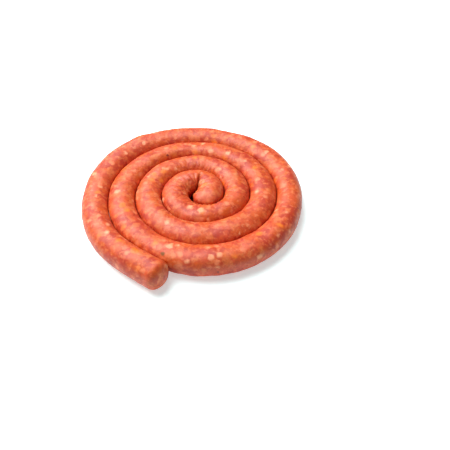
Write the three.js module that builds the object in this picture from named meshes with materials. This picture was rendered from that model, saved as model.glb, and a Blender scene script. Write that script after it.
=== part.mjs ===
// A coil of fresh sausage: one long uncut sausage in a natural casing, wound flat into a spiral
// of nearly four turns that press against one another. Millimetres, +Z up. The coil rests on
// Z = 0, with the origin under the middle of its outline.
import * as THREE from "three";
import { mergeVertices } from "three/addons/utils/BufferGeometryUtils.js";

// The middle line of the sausage, seen from above, winds clockwise from the outer end inwards.
// Places along it are counted in turns from START_ANGLE.
const OUTER_RADIUS = 87.55;
const PITCH = 21.07;
const START_ANGLE = THREE.MathUtils.degToRad(108);
const FIRST_TURN = 0;
const LAST_TURN = 3.79;

// A hand-wound coil is a little oval, its inner turns lie slightly to one side, and it is pushed
// in or out by a few millimetres here and there. The last nudge straightens the inner end.
const OVAL = { by: 1.05, facing: THREE.MathUtils.degToRad(28) };
const SHIFTED = { by: 0.4, from: 0.7, to: 1.1 };
const NUDGES = [
  { turn: -0.045, by: 7, over: 0.04 },
  { turn: 0.04, by: -1.6, over: 0.06 },
  { turn: 0.31, by: 3.6, over: 0.085 },
  { turn: 0.605, by: 2.2, over: 0.08 },
  { turn: 0.89, by: 3.9, over: 0.18 },
  { turn: 1.39, by: -1.9, over: 0.18 },
  { turn: 1.73, by: 1, over: 0.095 },
  { turn: 1.89, by: -1.3, over: 0.095 },
  { turn: 2.11, by: -1.2, over: 0.095 },
  { turn: 2.46, by: 2.1, over: 0.145 },
  { turn: 2.82, by: -1.3, over: 0.11 },
  { turn: 3, by: 1, over: 0.095 },
  { turn: 3.27, by: -1.65, over: 0.12 },
  { turn: 3.475, by: 2.2, over: 0.1 },
  { turn: 3.9, by: 9, over: 0.115 },
];

// The section: half its width where it is free, how much lower than wide it lies, fuller
// stretches where the casing was filled harder, how square it is, and how far its middle sinks
// as it settles on its belly.
const HALF_WIDTH = 9.86;
const FLATTENED = 0.97;
const FULLER = [
  { turn: 0, by: 2.2, over: 0.13 },
  { turn: 0.93, by: 0.75, over: 0.21 },
  { turn: 1.9, by: 0.55, over: 0.21 },
  { turn: 3.65, by: 0.9, over: 0.35 },
];
const LUMPS = [
  { length: 57, by: 0.012, phase: 0.4 },
  { length: 31, by: 0.01, phase: 2.1 },
  { length: 19, by: 0.006, phase: 4.4 },
];
const SQUARENESS = 2.1;
const SETTLED = 0.95;

// Where turns touch: how much wider than its room a turn would swell, how near a neighbour has
// to be for that, in half widths, over what length the width may change, and how soft the edges
// of the flats are. CONTACT_GAP is left between neighbours, and OWN_STRETCH is the length on
// either side of a place that is no neighbour of it.
const SWELL = 1.05;
const TOUCHES = { from: 1.5, to: 1.25 };
const WIDTH_CHANGE_LENGTH = 24;
const FLAT_BLEND = 0.45;
const CONTACT_GAP = 0.3;
const OWN_STRETCH = 40;

// Towards the centre the sausage spreads into the small hole that the last turn leaves, and on
// the inside of a bend it folds no tighter than a part of the bend's radius.
const INNER_SIDE_WIDER = [
  { turn: 3.13, by: 2.2, over: 0.12 },
  { turn: 3.6, by: -1.3, over: 0.09 },
  { turn: 3.84, by: 5, over: 0.1 },
];
const BEND_LENGTH = 12;
const TIGHTEST_FOLD = 0.8;
const FOLD_BLEND = 1.35;

// Blunt ends: how far each bulges past the middle line, and how square it is from above and
// over its crown.
const OUTER_END = { bulge: 7.5, squareness: 2.25, crown: 2.25 };
const INNER_END = { bulge: 11.5, squareness: 6, crown: 2.3 };

// The inner end sinks towards its tip: the share of its upper half that is gone there.
const TIP_DIP = 0.45;

// How finely the faceted skin is divided, and how often neighbours are looked for.
const SIDES = 20;
const END_RINGS = 5;
const RING_SPACING = { base: 3.4, perRadius: 0.038 };
const LINE_SAMPLES = 1500;
const NEIGHBOUR_STEP = 4;
const SAME_POINT = 1e-4;

const CASING = new THREE.MeshStandardMaterial({
  color: new THREE.Color().setRGB(0.86, 0.36, 0.24, THREE.SRGBColorSpace),
  roughness: 0.42,
  metalness: 0,
});

// The sum of smooth local changes, each centred on a turn and dying away over a part of one.
function changes(list, turn) {
  return list.reduce((sum, one) => sum + one.by * Math.exp(-(((turn - one.turn) / one.over) ** 2)), 0);
}

// Distance of the middle line from the centre of the coil.
function coilRadius(turn) {
  const angle = START_ANGLE + turn * 2 * Math.PI;
  const oval = OVAL.by * Math.cos(2 * (angle - OVAL.facing));
  const inwards = THREE.MathUtils.smoothstep(turn, SHIFTED.from, SHIFTED.to);
  const shifted = SHIFTED.by * inwards * Math.cos(angle);
  return OUTER_RADIUS - PITCH * turn + oval + shifted + changes(NUDGES, turn);
}

function coilPoint(turn) {
  const angle = START_ANGLE + turn * 2 * Math.PI;
  const radius = coilRadius(turn);
  return new THREE.Vector2(radius * Math.cos(angle), -radius * Math.sin(angle));
}

// The middle line as evenly counted samples, each with its distance along the sausage, its
// heading and the way out from the centre.
function middleLine() {
  const samples = [];
  for (let i = 0; i <= LINE_SAMPLES; i += 1) {
    const turn = THREE.MathUtils.lerp(FIRST_TURN, LAST_TURN, i / LINE_SAMPLES);
    samples.push({ turn, point: coilPoint(turn), along: 0 });
  }
  samples.forEach((sample, i) => {
    const before = samples[Math.max(i - 1, 0)];
    const after = samples[Math.min(i + 1, LINE_SAMPLES)];
    if (i > 0) sample.along = before.along + sample.point.distanceTo(before.point);
    sample.heading = after.point.clone().sub(before.point).normalize();
    sample.outward = new THREE.Vector2(-sample.heading.y, sample.heading.x);
  });
  return samples;
}

const LINE = middleLine();
const LENGTH = LINE[LINE_SAMPLES].along;

function nearestPlace(along) {
  let low = 0;
  let high = LINE_SAMPLES;
  while (high - low > 1) {
    const middle = (low + high) >> 1;
    if (LINE[middle].along < along) low = middle;
    else high = middle;
  }
  return along - LINE[low].along < LINE[high].along - along ? low : high;
}

// Radius of the bend over a short length, infinite where the sausage runs straight.
function bendRadius({ along }) {
  const before = LINE[nearestPlace(along - BEND_LENGTH / 2)];
  const after = LINE[nearestPlace(along + BEND_LENGTH / 2)];
  return BEND_LENGTH / after.heading.distanceTo(before.heading);
}

// How far a point may lie from the middle line in one direction before it is nearer to another
// stretch of the sausage than to its own.
function roomTowards(sample, direction) {
  let room = Infinity;
  for (let i = 0; i <= LINE_SAMPLES; i += NEIGHBOUR_STEP) {
    if (Math.abs(LINE[i].along - sample.along) < OWN_STRETCH) continue;
    const across = LINE[i].point.clone().sub(sample.point);
    const facing = across.dot(direction);
    if (facing > 0) room = Math.min(room, across.lengthSq() / (2 * facing));
  }
  return room - CONTACT_GAP / 2;
}

// The smaller of a value and a limit, with the corner between them rounded.
function softMin(value, limit, blend) {
  const left = (limit - value) / blend;
  const rounded = Math.log1p(Math.exp(-Math.abs(left)));
  return Math.min(value, limit) - blend * rounded;
}

function power(value, exponent) {
  return Math.sign(value) * Math.abs(value) ** exponent;
}

// Half the width of the free section, a little uneven along the sausage.
function halfWidth({ turn, along }) {
  let half = HALF_WIDTH + changes(FULLER, turn);
  for (const lump of LUMPS) {
    half *= 1 + lump.by * Math.sin((2 * Math.PI * along) / lump.length + lump.phase);
  }
  return half;
}

// How far the sausage reaches to one side, filling the room up to a neighbour where there is one.
function sideWidth(sample, side) {
  const half = halfWidth(sample);
  const room = roomTowards(sample, sample.outward.clone().multiplyScalar(side));
  if (room > TOUCHES.from * half) return half;
  const free = THREE.MathUtils.smoothstep(room, TOUCHES.to * half, TOUCHES.from * half);
  return THREE.MathUtils.lerp(SWELL * room, half, free);
}

// The casing is too taut for a sudden step, so each width is the mean over a short length.
function evenedOut(widths) {
  const reach = Math.round((LINE_SAMPLES * WIDTH_CHANGE_LENGTH) / LENGTH / 2);
  return widths.map((_, i) => {
    const near = widths.slice(Math.max(i - reach, 0), i + reach + 1);
    return near.reduce((sum, width) => sum + width, 0) / near.length;
  });
}

const OUTER_WIDTHS = evenedOut(LINE.map((sample) => sideWidth(sample, 1)));
const INNER_WIDTHS = evenedOut(LINE.map((sample) => sideWidth(sample, -1))).map(
  (width, i) => width + changes(INNER_SIDE_WIDER, LINE[i].turn),
);

// Where one point of the straight sausage goes when the sausage is wound up. The straight one
// is a lathed solid of radius 1 whose axis counts the distance along the sausage.
function wind(straight) {
  const along = THREE.MathUtils.clamp(straight.y, 0, LENGTH);
  const beyond = straight.y - along;
  const place = nearestPlace(along);
  const sample = LINE[place];
  const high = FLATTENED * halfWidth(sample);
  const end = beyond < 0 ? OUTER_END : INNER_END;
  const fullness = Math.hypot(straight.x, straight.z);
  const around = Math.atan2(-straight.z, straight.x);
  const width = Math.cos(around) > 0 ? OUTER_WIDTHS[place] : INNER_WIDTHS[place];
  const across = fullness * width * power(Math.cos(around), 2 / SQUARENESS);
  const crown = fullness ** (end.squareness / end.crown);
  const dipped = 1 - TIP_DIP * THREE.MathUtils.smoothstep(beyond, 0, INNER_END.bulge);
  const upwards = dipped * crown * high * power(Math.sin(around), 2 / SQUARENESS);

  const offset = sample.outward.clone().multiplyScalar(across);
  offset.addScaledVector(sample.heading, beyond);
  const reach = offset.length();
  if (reach > SAME_POINT) {
    const direction = offset.clone().divideScalar(reach);
    let kept = softMin(reach, roomTowards(sample, direction), FLAT_BLEND);
    if (across < 0) kept = softMin(kept, TIGHTEST_FOLD * bendRadius(sample), FOLD_BLEND);
    offset.setLength(Math.max(kept, 0));
  }
  const plan = sample.point.clone().add(offset);
  return new THREE.Vector3(plan.x, plan.y, Math.max(SETTLED * high + upwards, 0));
}

// Half the outline of one end, from its tip out to full thickness, pointing down the axis.
function endProfile({ bulge, squareness }) {
  const profile = [];
  for (let i = 0; i < END_RINGS; i += 1) {
    const angle = ((i / END_RINGS) * Math.PI) / 2;
    const radius = Math.sin(angle) ** (2 / squareness);
    profile.push(new THREE.Vector2(radius, -bulge * Math.cos(angle) ** (2 / squareness)));
  }
  return profile;
}

// Half of the straight sausage's outline, from the tip of the outer end to that of the inner.
function straightProfile() {
  const profile = endProfile(OUTER_END);
  for (let along = 0; along < LENGTH - RING_SPACING.base / 2; ) {
    profile.push(new THREE.Vector2(1, along));
    const { turn } = LINE[nearestPlace(along)];
    along += RING_SPACING.base + RING_SPACING.perRadius * coilRadius(turn);
  }
  profile.push(new THREE.Vector2(1, LENGTH));
  const innerEnd = endProfile(INNER_END).reverse();
  profile.push(...innerEnd.map(({ x, y }) => new THREE.Vector2(x, LENGTH - y)));
  return profile;
}

function sausage() {
  const lathed = new THREE.LatheGeometry(straightProfile(), SIDES);
  lathed.deleteAttribute("normal");
  lathed.deleteAttribute("uv");
  const geometry = mergeVertices(lathed, SAME_POINT);
  const positions = geometry.getAttribute("position");
  for (let i = 0; i < positions.count; i += 1) {
    const wound = wind(new THREE.Vector3().fromBufferAttribute(positions, i));
    positions.setXYZ(i, wound.x, wound.y, wound.z);
  }
  geometry.computeVertexNormals();
  geometry.computeBoundingBox();
  const middle = geometry.boundingBox.getCenter(new THREE.Vector3());
  const mesh = new THREE.Mesh(geometry, CASING);
  mesh.name = "sausage";
  mesh.position.set(-middle.x, -middle.y, 0);
  return mesh;
}

const coil = new THREE.Group();
coil.add(sausage());

export default coil;
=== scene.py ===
import math

import bmesh
import bpy
import numpy as np
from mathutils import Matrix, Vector, noise


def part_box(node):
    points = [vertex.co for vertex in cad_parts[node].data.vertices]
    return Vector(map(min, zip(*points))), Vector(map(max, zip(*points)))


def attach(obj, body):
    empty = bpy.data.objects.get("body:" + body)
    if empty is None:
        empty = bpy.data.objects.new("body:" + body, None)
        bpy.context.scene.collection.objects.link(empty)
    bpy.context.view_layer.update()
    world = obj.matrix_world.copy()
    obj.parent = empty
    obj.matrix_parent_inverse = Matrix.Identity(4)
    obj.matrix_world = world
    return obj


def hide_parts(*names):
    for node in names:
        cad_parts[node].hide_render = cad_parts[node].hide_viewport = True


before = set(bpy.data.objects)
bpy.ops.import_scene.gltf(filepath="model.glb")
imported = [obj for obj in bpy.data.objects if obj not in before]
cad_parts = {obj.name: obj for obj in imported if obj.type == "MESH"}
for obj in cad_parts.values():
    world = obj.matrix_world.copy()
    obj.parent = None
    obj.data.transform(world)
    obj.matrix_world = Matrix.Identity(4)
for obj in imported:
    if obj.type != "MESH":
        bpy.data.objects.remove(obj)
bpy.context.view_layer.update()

MM = 0.001

# The camera looks down on the coil along +Y, at a spot on the table right of and before its
# middle, so that the coil sits left of the picture's middle as it does in the photograph.
PICTURE_WIDTH = 450
FOCAL_LENGTH_IN_PIXELS = 520.6
LOOKS_AT = (26.61, -21.42, 0)
CAMERA_DISTANCE = 420
CAMERA_HEIGHT_ANGLE = math.radians(46.4)
SENSOR_WIDTH = 36

# The middle line of the sausage, seen from above, winds clockwise from the outer end inwards.
# Places along it are counted in turns from START_ANGLE, and these sizes are the solid's own.
OUTER_RADIUS = 87.55
PITCH = 21.07
START_ANGLE = math.radians(108)
FIRST_TURN = 0
LAST_TURN = 3.79
OVAL = {"by": 1.05, "facing": math.radians(28)}
SHIFTED = {"by": 0.4, "from": 0.7, "to": 1.1}
NUDGES = [
    {"turn": -0.045, "by": 7, "over": 0.04},
    {"turn": 0.04, "by": -1.6, "over": 0.06},
    {"turn": 0.31, "by": 3.6, "over": 0.085},
    {"turn": 0.605, "by": 2.2, "over": 0.08},
    {"turn": 0.89, "by": 3.9, "over": 0.18},
    {"turn": 1.39, "by": -1.9, "over": 0.18},
    {"turn": 1.73, "by": 1, "over": 0.095},
    {"turn": 1.89, "by": -1.3, "over": 0.095},
    {"turn": 2.11, "by": -1.2, "over": 0.095},
    {"turn": 2.46, "by": 2.1, "over": 0.145},
    {"turn": 2.82, "by": -1.3, "over": 0.11},
    {"turn": 3, "by": 1, "over": 0.095},
    {"turn": 3.27, "by": -1.65, "over": 0.12},
    {"turn": 3.475, "by": 2.2, "over": 0.1},
    {"turn": 3.9, "by": 9, "over": 0.115},
]

# The section: half its width where it is free, how much lower than wide it lies, fuller
# stretches where the casing was filled harder, slow swellings all along it, how square it is,
# and how far its middle sinks as it settles on its belly.
HALF_WIDTH = 9.86
FLATTENED = 0.97
FULLER = [
    {"turn": 0, "by": 2.2, "over": 0.13},
    {"turn": 0.93, "by": 0.75, "over": 0.21},
    {"turn": 1.9, "by": 0.55, "over": 0.21},
    {"turn": 3.65, "by": 0.9, "over": 0.35},
]
LUMPS = [
    {"length": 57, "by": 0.012, "phase": 0.4},
    {"length": 31, "by": 0.01, "phase": 2.1},
    {"length": 19, "by": 0.006, "phase": 4.4},
]
SQUARENESS = 2.1
SETTLED = 0.95

# Where turns touch: how much wider than its room a turn would swell, how near a neighbour has
# to be for that, in half widths, over what length the width may change, and how soft the edges
# of the flats and of the belly are. CONTACT_GAP is left between neighbours, and OWN_STRETCH is
# the length on either side of a place that is no neighbour of it.
SWELL = 1.05
TOUCHES = {"from": 1.5, "to": 1.25}
WIDTH_CHANGE_LENGTH = 24
FLAT_BLEND = 0.45
BELLY_BLEND = 0.2
CONTACT_GAP = 0.06
OWN_STRETCH = 40

# Towards the centre the sausage spreads into the small hole that the last turn leaves, and on
# the inside of a bend it folds no tighter than a part of the bend's radius.
INNER_SIDE_WIDER = [
    {"turn": 3.13, "by": 2.2, "over": 0.12},
    {"turn": 3.6, "by": -1.3, "over": 0.09},
    {"turn": 3.84, "by": 5, "over": 0.1},
]
BEND_LENGTH = 12
TIGHTEST_FOLD = 0.8
FOLD_BLEND = 1.35

# Blunt ends: how far each bulges past the middle line, and how square it is from above and
# over its crown.
OUTER_END = {"bulge": 7.5, "squareness": 2.25, "crown": 2.25}
INNER_END = {"bulge": 11.5, "squareness": 6, "crown": 2.3}

# The inner end sinks towards its tip: the share of its upper half that is gone there.
TIP_DIP = 0.45

# Soft lumps of mince under the casing.
MINCE_RELIEF = [
    {"size": 11, "by": 0.3},
    {"size": 5, "by": 0.2},
    {"size": 2.4, "by": 0.09},
]

# Wrinkles across the inside of each bend: "by" deep where the bend has "bend_radius", and in
# tighter bends up to "at_most" times that. They waver by some radians of their length. "crease"
# says how narrow each is, and "inside" how far round the section they reach.
WRINKLES = {"length": 4.6, "by": 0.42, "bend_radius": 26, "at_most": 1.3}
WRINKLE_WAVER = {"size": 5.5, "by": 5}
WRINKLE_EDGES = {"crease": (-0.2, 1), "inside": (-0.45, 0.9)}

# One deep pinch, on the inside of the bend beside the hole.
PINCH = {"turn": 3.467, "by": 3, "over": 1.5, "inside": (-0.35, 0.6)}

# How finely the casing is divided. Neighbours are looked for at every few samples of the middle
# line, for some thousand places at a time, and no room between turns reaches as far as FAR_OFF.
SIDES = 84
END_ROWS = 18
BODY_ROWS = 1120
ROW_SPACING = {"base": 0.4, "per_radius": 0.011}
LINE_SAMPLES = 3000
NEIGHBOUR_STEP = 8
PLACES_AT_A_TIME = 4000
FAR_OFF = 1000
TINY = 1e-9
SAME_POINT = 1e-6


def set_up_camera():
    """A level camera at the photograph's height angle, with its field of view."""
    data = bpy.data.cameras.new("camera")
    data.sensor_fit = "HORIZONTAL"
    data.sensor_width = SENSOR_WIDTH
    data.lens = SENSOR_WIDTH * FOCAL_LENGTH_IN_PIXELS / PICTURE_WIDTH
    data.clip_start = 0.01
    camera = bpy.data.objects.new("camera", data)
    away = Vector((0, -math.cos(CAMERA_HEIGHT_ANGLE), math.sin(CAMERA_HEIGHT_ANGLE)))
    camera.location = (Vector(LOOKS_AT) + away * CAMERA_DISTANCE) * MM
    camera.rotation_euler = (math.pi / 2 - CAMERA_HEIGHT_ANGLE, 0, 0)
    bpy.context.scene.collection.objects.link(camera)
    bpy.context.scene.camera = camera


def changes(places, turn):
    """The sum of smooth local changes, each centred on a turn and dying away over a part of one."""
    return sum(one["by"] * np.exp(-(((turn - one["turn"]) / one["over"]) ** 2)) for one in places)


def coil_radius(turn):
    angle = START_ANGLE + turn * 2 * np.pi
    oval = OVAL["by"] * np.cos(2 * (angle - OVAL["facing"]))
    inwards = smooth_step(turn, SHIFTED["from"], SHIFTED["to"])
    shifted = SHIFTED["by"] * inwards * np.cos(angle)
    return OUTER_RADIUS - PITCH * turn + oval + shifted + changes(NUDGES, turn)


class MiddleLine:
    """The middle line as samples: place, distance along, heading, way out and radius of bend."""

    def __init__(self):
        self.turn = np.linspace(FIRST_TURN, LAST_TURN, LINE_SAMPLES + 1)
        angle = START_ANGLE + self.turn * 2 * np.pi
        self.radius = coil_radius(self.turn)
        self.point = np.stack([self.radius * np.cos(angle), -self.radius * np.sin(angle)], -1)
        steps = np.linalg.norm(np.diff(self.point, axis=0), axis=1)
        self.along = np.concatenate([[0], np.cumsum(steps)])
        self.length = self.along[-1]
        heading = np.gradient(self.point, self.along, axis=0)
        self.heading = heading / np.linalg.norm(heading, axis=1, keepdims=True)
        self.outward = np.stack([-self.heading[:, 1], self.heading[:, 0]], -1)
        ahead = self.at(self.heading, self.along + BEND_LENGTH / 2)
        behind = self.at(self.heading, self.along - BEND_LENGTH / 2)
        turned = np.linalg.norm(ahead - behind, axis=1)
        self.bend_radius = BEND_LENGTH / np.maximum(turned, TINY)
        self.half = half_width(self.turn, self.along)
        self.width = {side: self.half_widths(side) for side in (1, -1)}

    def at(self, values, along):
        """Sampled values, read off at any distances along the sausage."""
        if values.ndim == 1:
            return np.interp(along, self.along, values)
        return np.stack([np.interp(along, self.along, column) for column in values.T], -1)

    def room_towards(self, along, point, direction):
        """How far each point's direction runs before another stretch of sausage is nearer."""
        others = self.point[::NEIGHBOUR_STEP]
        others_along = self.along[::NEIGHBOUR_STEP]
        room = np.empty(len(point))
        for first in range(0, len(point), PLACES_AT_A_TIME):
            part = slice(first, first + PLACES_AT_A_TIME)
            across = others[None] - point[part, None]
            facing = np.einsum("pok,pk->po", across, direction[part])
            apart = np.abs(others_along[None] - along[part, None]) > OWN_STRETCH
            usable = apart & (facing > TINY)
            reach = (across**2).sum(-1) / np.where(usable, 2 * facing, 1)
            room[part] = np.where(usable, reach, np.inf).min(1)
        return room - CONTACT_GAP / 2

    def half_widths(self, side):
        """Half the width on one side, filling the room up to a neighbour, evened out."""
        room = self.room_towards(self.along, self.point, side * self.outward)
        near = np.minimum(room, TOUCHES["from"] * self.half)
        free = smooth_step(near, TOUCHES["to"] * self.half, TOUCHES["from"] * self.half)
        widths = SWELL * near * (1 - free) + self.half * free
        reach = round(LINE_SAMPLES * WIDTH_CHANGE_LENGTH / self.length / 2)
        places = np.arange(len(widths))
        low = np.maximum(places - reach, 0)
        high = np.minimum(places + reach + 1, len(widths))
        total = np.concatenate([[0], np.cumsum(widths)])
        wider = changes(INNER_SIDE_WIDER, self.turn) if side < 0 else 0
        return (total[high] - total[low]) / (high - low) + wider


def half_width(turn, along):
    half = HALF_WIDTH + changes(FULLER, turn)
    for lump in LUMPS:
        half = half * (1 + lump["by"] * np.sin(2 * np.pi * along / lump["length"] + lump["phase"]))
    return half


def smooth_step(value, low, high):
    share = np.clip((value - low) / (high - low), 0, 1)
    return share * share * (3 - 2 * share)


def soft_min(value, limit, blend):
    """The smaller of two, with the corner between them rounded."""
    return limit - blend * np.logaddexp(0, (limit - value) / blend)


def power(value, exponent):
    return np.sign(value) * np.abs(value) ** exponent


class CasingPlaces:
    """Where the vertices of the rolled casing lie: their row's place and their place around."""

    def __init__(self, line, row, side):
        outer_full, outer_past = self.end_rows(OUTER_END)
        inner_full, inner_past = self.end_rows(INNER_END)
        body = self.body_rows(line)
        fullness = np.concatenate([outer_full, np.ones(len(body)), inner_full[::-1]])
        along = np.concatenate([np.zeros(END_ROWS), body, np.full(END_ROWS, line.length)])
        beyond = np.concatenate([-outer_past, np.zeros(len(body)), inner_past[::-1]])
        self.fullness = fullness[row]
        self.along = along[row]
        self.beyond = beyond[row]
        self.around = side / SIDES * 2 * np.pi - np.pi / 2
        crowns = [end["squareness"] / end["crown"] for end in (OUTER_END, INNER_END)]
        self.crown = self.fullness ** np.where(self.beyond < 0, *crowns)

    @staticmethod
    def end_rows(end):
        """How full each row of an end is and how far past the middle line, from its tip out."""
        angle = np.arange(END_ROWS) / END_ROWS * np.pi / 2
        fullness = np.sin(angle) ** (2 / end["squareness"])
        return fullness, end["bulge"] * np.cos(angle) ** (2 / end["squareness"])

    @staticmethod
    def body_rows(line):
        """Distances along for the rows of the body, closer together where the coil is tight."""
        spacing = ROW_SPACING["base"] + ROW_SPACING["per_radius"] * line.radius
        count = np.concatenate([[0], np.cumsum(np.diff(line.along) / spacing[1:])])
        return np.interp(np.linspace(0, count[-1], BODY_ROWS), count, line.along)


def wound(line, places, relief):
    """Where each vertex goes once the sausage is wound up, in millimetres."""
    high = FLATTENED * line.at(line.half, places.along)
    outer = line.at(line.width[1], places.along)
    inner = line.at(line.width[-1], places.along)
    outside = np.cos(places.around) > 0
    width = np.where(outside, outer, inner) + relief
    across = places.fullness * width * power(np.cos(places.around), 2 / SQUARENESS)
    dipped = 1 - TIP_DIP * smooth_step(places.beyond, 0, INNER_END["bulge"])
    upwards = dipped * places.crown * (high + relief) * power(np.sin(places.around), 2 / SQUARENESS)

    point = line.at(line.point, places.along)
    outward = line.at(line.outward, places.along)
    heading = line.at(line.heading, places.along)
    offset = outward * across[:, None] + heading * places.beyond[:, None]
    reach = np.maximum(np.linalg.norm(offset, axis=1), TINY)
    direction = offset / reach[:, None]
    room = line.room_towards(places.along, point, direction)
    kept = soft_min(reach, np.minimum(room, FAR_OFF), FLAT_BLEND)
    fold = TIGHTEST_FOLD * line.at(line.bend_radius, places.along)
    kept = np.where(outside, kept, soft_min(kept, fold, FOLD_BLEND))
    plan = point + direction * np.maximum(kept, 0)[:, None]
    height = -soft_min(-(SETTLED * high + upwards), 0, BELLY_BLEND)
    return np.column_stack([plan, height])


def relief_of(line, places, smooth):
    """How far the casing stands out or in at each vertex, from mince, wrinkles and the pinch."""
    relief = np.zeros(len(smooth))
    for grain in MINCE_RELIEF:
        lumps = [noise.noise(Vector(place)) for place in smooth / grain["size"]]
        relief += grain["by"] * np.array(lumps)
    inwards = -np.cos(places.around)
    inside = smooth_step(inwards, *WRINKLE_EDGES["inside"])
    bend_radius = line.at(line.bend_radius, places.along)
    tightness = np.minimum((WRINKLES["bend_radius"] / bend_radius) ** 2, WRINKLES["at_most"])
    waver = np.array([noise.noise(Vector(place)) for place in smooth / WRINKLE_WAVER["size"]])
    waves = 2 * np.pi * places.along / WRINKLES["length"] + WRINKLE_WAVER["by"] * waver
    creases = smooth_step(np.sin(waves), *WRINKLE_EDGES["crease"])
    relief -= WRINKLES["by"] * inside * tightness * creases
    pinch_at = np.interp(PINCH["turn"], line.turn, line.along)
    pinched = np.exp(-(((places.along - pinch_at) / PINCH["over"]) ** 2))
    return relief - PINCH["by"] * pinched * smooth_step(inwards, *PINCH["inside"])


def rolled_casing():
    """A flat sheet of casing rolled round into a tube and wound into the coil."""
    line = MiddleLine()
    rows = 2 * END_ROWS + BODY_ROWS - 1
    sheet = bmesh.new()
    bmesh.ops.create_grid(sheet, x_segments=SIDES, y_segments=rows, size=1)
    flat = np.array([vertex.co.to_tuple() for vertex in sheet.verts])
    side = np.rint((flat[:, 0] + 1) / 2 * SIDES)
    row = np.rint((flat[:, 1] + 1) / 2 * rows).astype(int)
    places = CasingPlaces(line, row, side)
    smooth = wound(line, places, 0)
    skin = wound(line, places, relief_of(line, places, smooth))
    middle = (skin.min(0) + skin.max(0)) / 2
    low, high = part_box("sausage")
    skin[:, :2] += np.array((low + high)[:2]) / 2 / MM - middle[:2]
    for vertex, place in zip(sheet.verts, skin):
        vertex.co = Vector(place) * MM
    bmesh.ops.remove_doubles(sheet, verts=sheet.verts, dist=SAME_POINT)
    bmesh.ops.recalc_face_normals(sheet, faces=sheet.faces)
    for face in sheet.faces:
        face.smooth = True
    mesh = bpy.data.meshes.new("sausage_skin")
    sheet.to_mesh(mesh)
    sheet.free()
    sausage = bpy.data.objects.new("sausage_skin", mesh)
    bpy.context.scene.collection.objects.link(sausage)
    return sausage


class Signal:
    """A shader socket that takes part in sums: each operation adds its Math node."""

    def __init__(self, finish, socket):
        self.finish = finish
        self.socket = socket

    def maths(self, operation, *values):
        return self.finish.add("ShaderNodeMath", {"operation": operation}, dict(enumerate(values)))

    def __add__(self, other):
        return self.maths("ADD", self, other)

    def __sub__(self, other):
        return self.maths("SUBTRACT", self, other)

    def __rsub__(self, other):
        return self.maths("SUBTRACT", other, self)

    def __mul__(self, other):
        return self.maths("MULTIPLY", self, other)

    __radd__ = __add__
    __rmul__ = __mul__


class Finish:
    """A material made node by node."""

    def __init__(self, name):
        self.material = bpy.data.materials.new(name)
        self.material.use_nodes = True
        self.tree = self.material.node_tree
        self.tree.nodes.clear()

    def add(self, kind, settings, sockets, output=0):
        """One node of a type, with its settings made first, then its sockets set or linked."""
        node = self.tree.nodes.new(kind)
        for name, value in settings.items():
            setattr(node, name, value)
        for name, value in sockets.items():
            if isinstance(value, Signal):
                self.tree.links.new(value.socket, node.inputs[name])
            else:
                node.inputs[name].default_value = value
        return Signal(self, node.outputs[output]) if node.outputs else None

    def object_place(self):
        return self.add("ShaderNodeTexCoord", {}, {}, "Object")

    def moved(self, place, by):
        return self.add("ShaderNodeVectorMath", {"operation": "ADD"}, {0: place, 1: by})

    def scaled(self, vector, by):
        return self.add("ShaderNodeVectorMath", {"operation": "SCALE"}, {0: vector, "Scale": by})

    def distance(self, place, spot):
        """How far a place is from a spot that is given in millimetres."""
        sockets = {0: place, 1: [value * MM for value in spot]}
        return self.add("ShaderNodeVectorMath", {"operation": "DISTANCE"}, sockets, "Value")

    def noise(self, place, size, detail=2, roughness=0.5, output=0):
        """Soft blotches about as wide as size, in millimetres."""
        sockets = {"Vector": place, "Scale": 1 / (size * MM), "Detail": detail, "Roughness": roughness}
        return self.add("ShaderNodeTexNoise", {}, sockets, output)

    def cells(self, place, size, output):
        """Cells as wide as size, in millimetres: their own colour, or the distance to a middle."""
        return self.add("ShaderNodeTexVoronoi", {}, {"Vector": place, "Scale": 1 / (size * MM)}, output)

    def rises(self, value, low, high):
        """A soft step from 0 to 1 as the value goes from low to high."""
        sockets = {"Value": value, "From Min": low, "From Max": high}
        return self.add("ShaderNodeMapRange", {"interpolation_type": "SMOOTHSTEP"}, sockets)

    def blend(self, share, under, over):
        """One colour laid over another by a share from 0 to 1."""
        return self.add("ShaderNodeMix", {"data_type": "RGBA"}, {0: share, 6: under, 7: over}, 2)

    def channel_scaled(self, colour, channel_shares):
        """A colour darkened by factors that keep a share each of its red, green and blue."""
        return self.add("ShaderNodeVectorMath", {"operation": "MULTIPLY"}, {0: colour, 1: channel_shares})


def shade(red, green, blue):
    """A colour from its screen values, as the shader reads it."""
    def straight(value):
        value = value / 255
        return value / 12.92 if value <= 0.04045 else ((value + 0.055) / 1.055) ** 2.4

    return (straight(red), straight(green), straight(blue), 1)


# Colours of the mince as they show through the casing.
LEAN_RED = shade(183, 54, 22)
PAPRIKA_ORANGE = shade(209, 86, 25)
SALMON = shade(210, 84, 43)
PEACH = shade(221, 116, 62)
DEEP_RED = shade(152, 33, 9)
MAUVE_LEAN = shade(180, 48, 30)
FAT_CREAM = shade(250, 168, 122)
FAT_PEACH = shade(240, 134, 88)
PAPRIKA_FAT = shade(236, 122, 34)
DARK_SPECK = shade(96, 26, 16)
HERB_SPECK = shade(112, 80, 18)

# Blotches of mince, each laid over those before it: how wide they are, how strong, between which
# values of the noise they rise, and a shift in metres that keeps the patterns apart.
BLOTCHES = (
    {"tint": LEAN_RED, "size": 6, "strength": 0.7, "rises": (0.5, 0.66), "shift": (0.3, 0.1, 0.2)},
    {"tint": PEACH, "size": 7, "strength": 0.75, "rises": (0.5, 0.66), "shift": (0.6, 0.4, 0.1)},
    {"tint": DEEP_RED, "size": 3.2, "strength": 0.32, "rises": (0.52, 0.7), "shift": (0.2, 0.7, 0.3)},
    {"tint": FAT_PEACH, "size": 3.6, "strength": 0.5, "rises": (0.52, 0.7), "shift": (0.8, 0.2, 0.6)},
)

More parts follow.
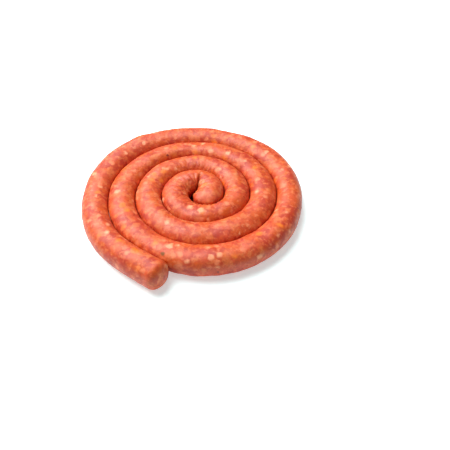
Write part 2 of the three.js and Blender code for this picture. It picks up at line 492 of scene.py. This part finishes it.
# Bits of fat, pepper and herb, in some of the cells of a pattern: how wide the cells are, the share
# of them that stays empty, how far a bit reaches in its cell, and a shift as above. A further
# share, FAINT_BITS, has fainter bits, and a bit is solid up to FULL_REACH of its reach.
BITS = (
    {"tint": FAT_PEACH, "size": 6.5, "empty": 0.72, "reach": 0.5, "shift": (0.31, 0.17, 0.05)},
    {"tint": PAPRIKA_FAT, "size": 8.5, "empty": 0.76, "reach": 0.45, "shift": (0.05, 0.41, 0.23)},
    {"tint": FAT_CREAM, "size": 7.5, "empty": 0.76, "reach": 0.42, "shift": (0, 0, 0)},
    {"tint": DARK_SPECK, "size": 8.5, "empty": 0.94, "reach": 0.12, "shift": (0.71, 0.13, 0.37)},
    {"tint": HERB_SPECK, "size": 15, "empty": 0.94, "reach": 0.09, "shift": (0.53, 0.67, 0.19)},
)
FAINT_BITS = 0.12
FULL_REACH = 0.2

# The bits that stand out most: tint, how far each reaches, and how far right, back and up it lies.
STANDING_OUT = (
    (FAT_CREAM, 2.7, (29.2, 47.8, 18.5)),
    (FAT_CREAM, 2.6, (-45.7, 62.7, 17.9)),
    (FAT_CREAM, 3.4, (8.3, -23, 18.6)),
    (FAT_CREAM, 3, (-17.5, -36.3, 19)),
    (FAT_CREAM, 3.4, (-13.4, -60.7, 19.6)),
    (FAT_CREAM, 3, (16.6, -71.7, 19.7)),
    (FAT_CREAM, 2.4, (62.5, 49, 18.6)),
    (FAT_PEACH, 2.4, (9.4, 71.4, 15.8)),
    (PAPRIKA_FAT, 4.4, (-37.6, -68.3, 22.3)),
    (PAPRIKA_FAT, 3.8, (-54.2, -17.9, 19)),
    (DARK_SPECK, 1.5, (-23.5, 46, 16.6)),
    (DARK_SPECK, 1.3, (21.2, -77.6, 10.1)),
    (HERB_SPECK, 1.8, (-18.1, -67.4, 18)),
)

# Painted shade: low down, in the grooves, the casing's colour is darkened as shade: the heights where
# that starts and is full, and what the painted shade leaves of red, green and blue. Round the outside,
# past these distances from the middle of the outer turn, a share of the painted shade is taken off.
PAINTED_SHADE_FROM = 16
PAINTED_SHADE_TO = 7
PAINTED_SHADE_DARKENING = (0.86, 0.34, 0.16)
OUTER_TURN_MIDDLE = (6, 8, 0)
OUTSIDE_FROM = 76
OUTSIDE_TO = 86
PAINTED_SHADE_CUT_OUTSIDE = 0.38


def mince_in_casing():
    """Coarse mince seen through a thin moist casing."""
    finish = Finish("mince_in_casing")
    place = finish.object_place()
    waver = finish.moved(finish.noise(place, 5, output="Color"), (-0.5, -0.5, -0.5))
    bent = finish.moved(place, finish.scaled(waver, 4 * MM))

    colour = finish.blend(finish.rises(finish.noise(place, 17), 0.38, 0.6), SALMON, PAPRIKA_ORANGE)
    colour = finish.blend(0.75 * finish.rises(finish.noise(place, 12), 0.5, 0.64), colour, MAUVE_LEAN)
    for blotch in BLOTCHES:
        pattern = finish.noise(finish.moved(bent, blotch["shift"]), blotch["size"])
        share = blotch["strength"] * finish.rises(pattern, *blotch["rises"])
        colour = finish.blend(share, colour, blotch["tint"])
    for bit in BITS:
        shifted = finish.moved(bent, bit["shift"])
        colour = finish.blend(bits_in_cells(finish, shifted, bit), colour, bit["tint"])
    for tint, reach, spot in STANDING_OUT:
        past = finish.rises(finish.distance(bent, spot), reach / 2 * MM, reach * MM)
        colour = finish.blend(0.85 * (1 - past), colour, tint)
    grain = finish.noise(place, 1.6, detail=3, roughness=0.6)
    colour = finish.blend(0.25 * finish.rises(grain, 0.35, 0.7), colour, DEEP_RED)
    # Painted shade: the colour darkens low down, in the grooves, and less so round the outside.
    colour = finish.blend(painted_shade_share(finish, place), colour, finish.channel_scaled(colour, PAINTED_SHADE_DARKENING))

    relief = {"Strength": 0.45, "Distance": 0.25 * MM, "Height": finish.noise(place, 1.4)}
    surface = finish.add(
        "ShaderNodeBsdfPrincipled",
        {"subsurface_method": "RANDOM_WALK"},
        {
            "Base Color": colour,
            "Roughness": 0.42 + 0.13 * finish.rises(finish.noise(place, 6), 0.3, 0.7),
            "IOR": 1.4,
            "Subsurface Weight": 0.15,
            "Subsurface Radius": (1.0, 0.3, 0.12),
            "Subsurface Scale": 2.5 * MM,
            "Specular IOR Level": 0.64,
            "Normal": finish.add("ShaderNodeBump", {}, relief, "Normal"),
        },
    )
    finish.add("ShaderNodeOutputMaterial", {}, {"Surface": surface})
    return finish.material


def bits_in_cells(finish, place, bit):
    """Where bits of one kind lie: in some of the cells of a pattern, each with a soft rim."""
    chance = finish.add("ShaderNodeSeparateColor", {}, {0: finish.cells(place, bit["size"], "Color")})
    chosen = finish.rises(chance, bit["empty"], bit["empty"] + FAINT_BITS)
    from_middle = finish.cells(place, bit["size"], "Distance")
    past = finish.rises(from_middle, FULL_REACH * bit["reach"], bit["reach"])
    return chosen * (1 - past)


def painted_shade_share(finish, place):
    """How much painted shade darkens the casing: low down, and less so round the outside."""
    height = finish.add("ShaderNodeSeparateXYZ", {}, {0: place}, "Z")
    low_down = 1 - finish.rises(height, PAINTED_SHADE_TO * MM, PAINTED_SHADE_FROM * MM)
    from_middle = finish.distance(place, OUTER_TURN_MIDDLE)
    outside = finish.rises(from_middle, OUTSIDE_FROM * MM, OUTSIDE_TO * MM)
    return low_down * (1 - PAINTED_SHADE_CUT_OUTSIDE * outside)


# Painted light: the table glows, though it is no lamp, to lighten the shadows on it, but not under the
# coil, where it is painted a dark red as shade: the change lies between these two distances from the
# middle of its outer turn.
GLOW_FROM = 66
GLOW_TO = 76
TABLE_PAINTED_SHADE = shade(110, 24, 10)
TABLE_TONES = ((0.75, 0.93, 0.93, 1), (0.77, 0.95, 0.95, 1))
TABLE_GLOW = (0.93, 1, 1, 1)
NO_GLOW = (0, 0, 0, 1)
TABLE_REACH = 3


def white_table():
    """The plain pale surface that the coil lies on, with a painted glow beside the coil and painted
    shade under it.
    """
    finish = Finish("white_table")
    place = finish.object_place()
    tone = finish.blend(finish.noise(place, 400), *TABLE_TONES)
    from_middle = finish.distance(place, OUTER_TURN_MIDDLE)
    beside = finish.rises(from_middle, GLOW_FROM * MM, GLOW_TO * MM)
    surface = finish.add(
        "ShaderNodeBsdfPrincipled",
        {},
        {
            # Painted shade: dark red under the coil; painted light: the glow beside it.
            "Base Color": finish.blend(beside, TABLE_PAINTED_SHADE, tone),
            "Roughness": 0.7,
            "Emission Color": finish.blend(beside, NO_GLOW, TABLE_GLOW),
            "Emission Strength": 0.45,
        },
    )
    finish.add("ShaderNodeOutputMaterial", {}, {"Surface": surface})
    plane = bmesh.new()
    bmesh.ops.create_grid(plane, x_segments=1, y_segments=1, size=TABLE_REACH)
    mesh = bpy.data.meshes.new("table")
    plane.to_mesh(mesh)
    plane.free()
    mesh.materials.append(finish.material)
    table = bpy.data.objects.new("table", mesh)
    bpy.context.scene.collection.objects.link(table)


def soft_light(name, place, size, power_watts):
    """A large square lamp that faces the middle of the coil."""
    data = bpy.data.lights.new(name, "AREA")
    data.size = size
    data.energy = power_watts
    lamp = bpy.data.objects.new(name, data)
    lamp.location = place
    lamp.rotation_euler = (-Vector(place)).to_track_quat("-Z", "Y").to_euler()
    bpy.context.scene.collection.objects.link(lamp)


def light_the_table():
    """A faintly lit white room, and one large soft lamp behind the coil on the left."""
    world = bpy.data.worlds.new("white_room")
    world.use_nodes = True
    world.node_tree.nodes["Background"].inputs["Color"].default_value = (1, 1, 1, 1)
    world.node_tree.nodes["Background"].inputs["Strength"].default_value = 0.2
    bpy.context.scene.world = world
    bpy.context.scene.view_settings.view_transform = "Standard"
    soft_light("softbox", place=(-0.56, 0.47, 1.15), size=1.35, power_watts=40.5)


set_up_camera()
sausage = rolled_casing()
sausage.data.materials.append(mince_in_casing())
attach(sausage, "root")
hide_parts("sausage")
white_table()
light_the_table()
